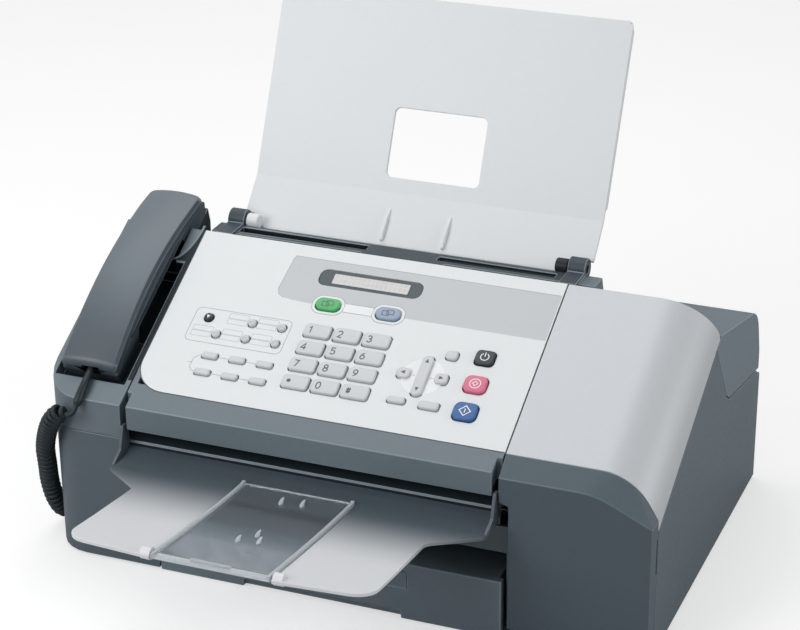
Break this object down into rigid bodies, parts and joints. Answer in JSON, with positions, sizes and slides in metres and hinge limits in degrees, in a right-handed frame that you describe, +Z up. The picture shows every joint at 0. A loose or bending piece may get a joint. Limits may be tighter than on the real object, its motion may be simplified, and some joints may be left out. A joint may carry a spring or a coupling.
{
  "type": "fax machine",
  "caption": "Desk-top fax machine with sloping key panel, corded handset at the left, document support and tray, drop-down ink cover and sliding paper cassette.",
  "frame": {"origin": "middle of the bottom of the machine's bounding box, handset cord left out, on the surface that the rubber feet stand on", "axes": "+X to the right as seen by a person at the keys, +Y from the document tray towards the rear, +Z up"},
  "size_m": [0.4173, 0.436, 0.3158],
  "materials": {
    "base_casing": "fine-grained dark grey",
    "rubber_feet": "matt",
    "ink_cover": "fine-grained dark grey",
    "print_frame": "zinc plated sheet",
    "ink_cartridges": "black moulded",
    "print_carriage": "black moulded",
    "paper_roller": "ground rubber on a steel shaft",
    "circuit_boards": "green lacquered board",
    "paper_cassette": "fine-grained dark grey",
    "upper_casing": "fine-grained dark grey",
    "hook_button": "polished black",
    "rear_hood": "fine-grained grey",
    "right_cover": "satin silver paint",
    "scan_sensor": "black with a clear face",
    "document_roller": "ground rubber",
    "document_tray": "satin silver grey",
    "tray_flap": "clear, lightly frosted",
    "document_support": "pale grey, fine-grained",
    "panel_frame": "fine-grained dark grey",
    "panel_plate": "off-white, satin",
    "display_board": "dark window with a pale liquid-crystal field",
    "handset_back": "fine-grained dark grey",
    "handset_face": "fine-grained dark grey",
    "cord_coil": "soft black jacket",
    "cord_leads": "soft black jacket",
    "key_1": "pale grey, satin",
    "key_2": "pale grey, satin",
    "key_3": "pale grey, satin",
    "key_4": "pale grey, satin",
    "key_5": "pale grey, satin",
    "key_6": "pale grey, satin",
    "key_7": "pale grey, satin",
    "key_8": "pale grey, satin",
    "key_9": "pale grey, satin",
    "key_star": "pale grey, satin",
    "key_0": "pale grey, satin",
    "key_hash": "pale grey, satin",
    "dial_key_3": "pale grey, satin",
    "dial_key_4": "pale grey, satin",
    "dial_key_5": "pale grey, satin",
    "dial_key_1": "pale grey, satin",
    "dial_key_2": "pale grey, satin",
    "shift_key": "dark, polished",
    "function_key_4": "pale grey, satin",
    "function_key_5": "pale grey, satin",
    "function_key_6": "pale grey, satin",
    "function_key_1": "pale grey, satin",
    "function_key_2": "pale grey, satin",
    "function_key_3": "pale grey, satin",
    "fax_key": "green, satin",
    "copy_key": "grey blue, satin",
    "rocker_key": "pale grey, satin",
    "left_key": "pale grey, satin",
    "right_key": "pale grey, satin",
    "menu_key": "pale grey, satin",
    "clear_key": "pale grey, satin",
    "ok_key": "pale grey, satin",
    "power_key": "dark grey",
    "stop_key": "pink red, satin",
    "start_key": "blue, satin"
  },
  "bodies": {
    "base": {"base_casing": "base_casing", "rubber_feet": "rubber_feet", "print_frame": "print_frame", "ink_cartridges": "ink_cartridges", "circuit_boards": "circuit_boards"},
    "ink_cover": {"ink_cover": "ink_cover"},
    "paper_cassette": {"paper_cassette": "paper_cassette"},
    "print_carriage": {"print_carriage": "print_carriage"},
    "paper_roller": {"paper_roller": "paper_roller"},
    "upper_unit": {"upper_casing": "upper_casing", "rear_hood": "rear_hood", "right_cover": "right_cover", "scan_sensor": "scan_sensor", "document_tray": "document_tray", "cord_coil": "cord_coil", "cord_leads": "cord_leads"},
    "document_roller": {"document_roller": "document_roller"},
    "tray_flap": {"tray_flap": "tray_flap"},
    "document_support": {"document_support": "document_support"},
    "panel": {"panel_frame": "panel_frame", "panel_plate": "panel_plate", "display_board": "display_board"},
    "handset": {"handset_back": "handset_back", "handset_face": "handset_face"},
    "hook_button": {"hook_button": "hook_button"},
    "key_1": {"key_1": "key_1"},
    "key_2": {"key_2": "key_2"},
    "key_3": {"key_3": "key_3"},
    "key_4": {"key_4": "key_4"},
    "key_5": {"key_5": "key_5"},
    "key_6": {"key_6": "key_6"},
    "key_7": {"key_7": "key_7"},
    "key_8": {"key_8": "key_8"},
    "key_9": {"key_9": "key_9"},
    "key_star": {"key_star": "key_star"},
    "key_0": {"key_0": "key_0"},
    "key_hash": {"key_hash": "key_hash"},
    "dial_key_3": {"dial_key_3": "dial_key_3"},
    "dial_key_4": {"dial_key_4": "dial_key_4"},
    "dial_key_5": {"dial_key_5": "dial_key_5"},
    "dial_key_1": {"dial_key_1": "dial_key_1"},
    "dial_key_2": {"dial_key_2": "dial_key_2"},
    "shift_key": {"shift_key": "shift_key"},
    "function_key_4": {"function_key_4": "function_key_4"},
    "function_key_5": {"function_key_5": "function_key_5"},
    "function_key_6": {"function_key_6": "function_key_6"},
    "function_key_1": {"function_key_1": "function_key_1"},
    "function_key_2": {"function_key_2": "function_key_2"},
    "function_key_3": {"function_key_3": "function_key_3"},
    "fax_key": {"fax_key": "fax_key"},
    "copy_key": {"copy_key": "copy_key"},
    "rocker_key": {"rocker_key": "rocker_key"},
    "left_key": {"left_key": "left_key"},
    "right_key": {"right_key": "right_key"},
    "menu_key": {"menu_key": "menu_key"},
    "clear_key": {"clear_key": "clear_key"},
    "ok_key": {"ok_key": "ok_key"},
    "power_key": {"power_key": "power_key"},
    "stop_key": {"stop_key": "stop_key"},
    "start_key": {"start_key": "start_key"}
  },
  "joints": [
    {"name": "ink_cover_hinge", "type": "hinge", "parent": "base", "child": "ink_cover", "pos_m": [0.155, -0.08, 0.013], "axis": [1, 0, 0], "range_deg": [0, 85]},
    {"name": "cassette_slide", "type": "slide", "parent": "base", "child": "paper_cassette", "axis": [0, -1, 0], "range_m": [0, 0.25]},
    {"name": "carriage_slide", "type": "slide", "parent": "base", "child": "print_carriage", "axis": [1, 0, 0], "range_m": [0, 0.3]},
    {"name": "paper_roller_spin", "type": "hinge", "parent": "base", "child": "paper_roller", "pos_m": [0, 0.186, 0.049], "axis": [1, 0, 0], "continuous": true},
    {"name": "upper_unit_hinge", "type": "hinge", "parent": "base", "child": "upper_unit", "pos_m": [0, 0.162, 0.086], "axis": [-1, 0, 0], "range_deg": [0, 35]},
    {"name": "document_roller_spin", "type": "hinge", "parent": "upper_unit", "child": "document_roller", "pos_m": [0, -0.00564, 0.12467], "axis": [1, 0, 0], "continuous": true},
    {"name": "tray_flap_hinge", "type": "hinge", "parent": "upper_unit", "child": "tray_flap", "pos_m": [-0.019, -0.2135, 0.09487], "axis": [1, 0, 0], "range_deg": [0, 165]},
    {"name": "support_hinge", "type": "hinge", "parent": "upper_unit", "child": "document_support", "pos_m": [0, 0.0745, 0.178], "axis": [-1, 0, 0], "range_deg": [-135, 0]},
    {"name": "panel_hinge", "type": "hinge", "parent": "upper_unit", "child": "panel", "pos_m": [-0.019, 0.03902, 0.17258], "axis": [-1, 0, 0], "range_deg": [0, 45]},
    {"name": "handset_lift", "type": "slide", "parent": "upper_unit", "child": "handset", "axis": [0, -0.4695, 0.8829], "range_m": [0, 0.08]},
    {"name": "hook_press", "type": "slide", "parent": "upper_unit", "child": "hook_button", "axis": [0, -0.4695, 0.8829], "range_m": [0, 0.003]},
    {"name": "key_1_press", "type": "slide", "parent": "panel", "child": "key_1", "axis": [0, 0.4695, -0.8829], "range_m": [0, 0.001], "stiffness_N_per_m": 400},
    {"name": "key_2_press", "type": "slide", "parent": "panel", "child": "key_2", "axis": [0, 0.4695, -0.8829], "range_m": [0, 0.001], "stiffness_N_per_m": 400},
    {"name": "key_3_press", "type": "slide", "parent": "panel", "child": "key_3", "axis": [0, 0.4695, -0.8829], "range_m": [0, 0.001], "stiffness_N_per_m": 400},
    {"name": "key_4_press", "type": "slide", "parent": "panel", "child": "key_4", "axis": [0, 0.4695, -0.8829], "range_m": [0, 0.001], "stiffness_N_per_m": 400},
    {"name": "key_5_press", "type": "slide", "parent": "panel", "child": "key_5", "axis": [0, 0.4695, -0.8829], "range_m": [0, 0.001], "stiffness_N_per_m": 400},
    {"name": "key_6_press", "type": "slide", "parent": "panel", "child": "key_6", "axis": [0, 0.4695, -0.8829], "range_m": [0, 0.001], "stiffness_N_per_m": 400},
    {"name": "key_7_press", "type": "slide", "parent": "panel", "child": "key_7", "axis": [0, 0.4695, -0.8829], "range_m": [0, 0.001], "stiffness_N_per_m": 400},
    {"name": "key_8_press", "type": "slide", "parent": "panel", "child": "key_8", "axis": [0, 0.4695, -0.8829], "range_m": [0, 0.001], "stiffness_N_per_m": 400},
    {"name": "key_9_press", "type": "slide", "parent": "panel", "child": "key_9", "axis": [0, 0.4695, -0.8829], "range_m": [0, 0.001], "stiffness_N_per_m": 400},
    {"name": "key_star_press", "type": "slide", "parent": "panel", "child": "key_star", "axis": [0, 0.4695, -0.8829], "range_m": [0, 0.001], "stiffness_N_per_m": 400},
    {"name": "key_0_press", "type": "slide", "parent": "panel", "child": "key_0", "axis": [0, 0.4695, -0.8829], "range_m": [0, 0.001], "stiffness_N_per_m": 400},
    {"name": "key_hash_press", "type": "slide", "parent": "panel", "child": "key_hash", "axis": [0, 0.4695, -0.8829], "range_m": [0, 0.001], "stiffness_N_per_m": 400},
    {"name": "dial_key_3_press", "type": "slide", "parent": "panel", "child": "dial_key_3", "axis": [0, 0.4695, -0.8829], "range_m": [0, 0.001], "stiffness_N_per_m": 400},
    {"name": "dial_key_4_press", "type": "slide", "parent": "panel", "child": "dial_key_4", "axis": [0, 0.4695, -0.8829], "range_m": [0, 0.001], "stiffness_N_per_m": 400},
    {"name": "dial_key_5_press", "type": "slide", "parent": "panel", "child": "dial_key_5", "axis": [0, 0.4695, -0.8829], "range_m": [0, 0.001], "stiffness_N_per_m": 400},
    {"name": "dial_key_1_press", "type": "slide", "parent": "panel", "child": "dial_key_1", "axis": [0, 0.4695, -0.8829], "range_m": [0, 0.001], "stiffness_N_per_m": 400},
    {"name": "dial_key_2_press", "type": "slide", "parent": "panel", "child": "dial_key_2", "axis": [0, 0.4695, -0.8829], "range_m": [0, 0.001], "stiffness_N_per_m": 400},
    {"name": "shift_key_press", "type": "slide", "parent": "panel", "child": "shift_key", "axis": [0, 0.4695, -0.8829], "range_m": [0, 0.001], "stiffness_N_per_m": 400},
    {"name": "function_key_4_press", "type": "slide", "parent": "panel", "child": "function_key_4", "axis": [0, 0.4695, -0.8829], "range_m": [0, 0.001], "stiffness_N_per_m": 400},
    {"name": "function_key_5_press", "type": "slide", "parent": "panel", "child": "function_key_5", "axis": [0, 0.4695, -0.8829], "range_m": [0, 0.001], "stiffness_N_per_m": 400},
    {"name": "function_key_6_press", "type": "slide", "parent": "panel", "child": "function_key_6", "axis": [0, 0.4695, -0.8829], "range_m": [0, 0.001], "stiffness_N_per_m": 400},
    {"name": "function_key_1_press", "type": "slide", "parent": "panel", "child": "function_key_1", "axis": [0, 0.4695, -0.8829], "range_m": [0, 0.001], "stiffness_N_per_m": 400},
    {"name": "function_key_2_press", "type": "slide", "parent": "panel", "child": "function_key_2", "axis": [0, 0.4695, -0.8829], "range_m": [0, 0.001], "stiffness_N_per_m": 400},
    {"name": "function_key_3_press", "type": "slide", "parent": "panel", "child": "function_key_3", "axis": [0, 0.4695, -0.8829], "range_m": [0, 0.001], "stiffness_N_per_m": 400},
    {"name": "fax_key_press", "type": "slide", "parent": "panel", "child": "fax_key", "axis": [0, 0.4695, -0.8829], "range_m": [0, 0.001], "stiffness_N_per_m": 400},
    {"name": "copy_key_press", "type": "slide", "parent": "panel", "child": "copy_key", "axis": [0, 0.4695, -0.8829], "range_m": [0, 0.001], "stiffness_N_per_m": 400},
    {"name": "rocker_key_press", "type": "slide", "parent": "panel", "child": "rocker_key", "axis": [0, 0.4695, -0.8829], "range_m": [0, 0.001], "stiffness_N_per_m": 400},
    {"name": "left_key_press", "type": "slide", "parent": "panel", "child": "left_key", "axis": [0, 0.4695, -0.8829], "range_m": [0, 0.001], "stiffness_N_per_m": 400},
    {"name": "right_key_press", "type": "slide", "parent": "panel", "child": "right_key", "axis": [0, 0.4695, -0.8829], "range_m": [0, 0.001], "stiffness_N_per_m": 400},
    {"name": "menu_key_press", "type": "slide", "parent": "panel", "child": "menu_key", "axis": [0, 0.4695, -0.8829], "range_m": [0, 0.001], "stiffness_N_per_m": 400},
    {"name": "clear_key_press", "type": "slide", "parent": "panel", "child": "clear_key", "axis": [0, 0.4695, -0.8829], "range_m": [0, 0.001], "stiffness_N_per_m": 400},
    {"name": "ok_key_press", "type": "slide", "parent": "panel", "child": "ok_key", "axis": [0, 0.4695, -0.8829], "range_m": [0, 0.001], "stiffness_N_per_m": 400},
    {"name": "power_key_press", "type": "slide", "parent": "panel", "child": "power_key", "axis": [0, 0.4695, -0.8829], "range_m": [0, 0.001], "stiffness_N_per_m": 400},
    {"name": "stop_key_press", "type": "slide", "parent": "panel", "child": "stop_key", "axis": [0, 0.4695, -0.8829], "range_m": [0, 0.001], "stiffness_N_per_m": 400},
    {"name": "start_key_press", "type": "slide", "parent": "panel", "child": "start_key", "axis": [0, 0.4695, -0.8829], "range_m": [0, 0.001], "stiffness_N_per_m": 400}
  ],
  "couplings": [
    {"joint": "hook_press", "follows": "handset_lift", "ratio": 0.0375}
  ]
}
